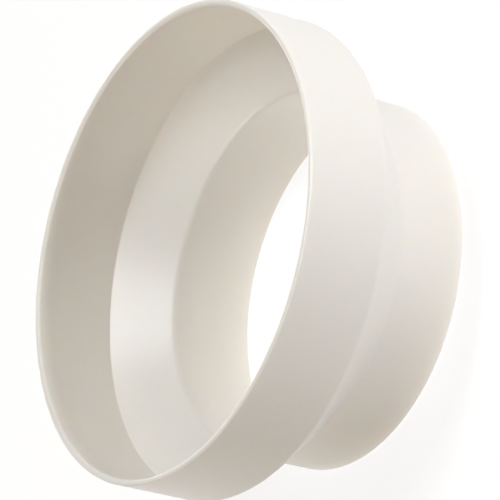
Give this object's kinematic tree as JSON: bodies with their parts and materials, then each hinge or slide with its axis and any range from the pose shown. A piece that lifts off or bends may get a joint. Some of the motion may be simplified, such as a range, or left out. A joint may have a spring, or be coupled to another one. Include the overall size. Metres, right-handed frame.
{
  "type": "duct reducer",
  "caption": "Round plastic duct reducer moulded in one piece, with a wide socket, a conical shoulder and a narrower spigot in line.",
  "frame": {"origin": "centre of the small end's face, on which the reducer stands", "axes": "+Z along the duct axis, from the small spigot towards the large mouth; X and Y are equal by symmetry"},
  "size_m": [0.129, 0.129, 0.059],
  "materials": {
    "white_plastic": "satin"
  },
  "bodies": {
    "root": {"reducer_body": "white_plastic"}
  },
  "joints": []
}
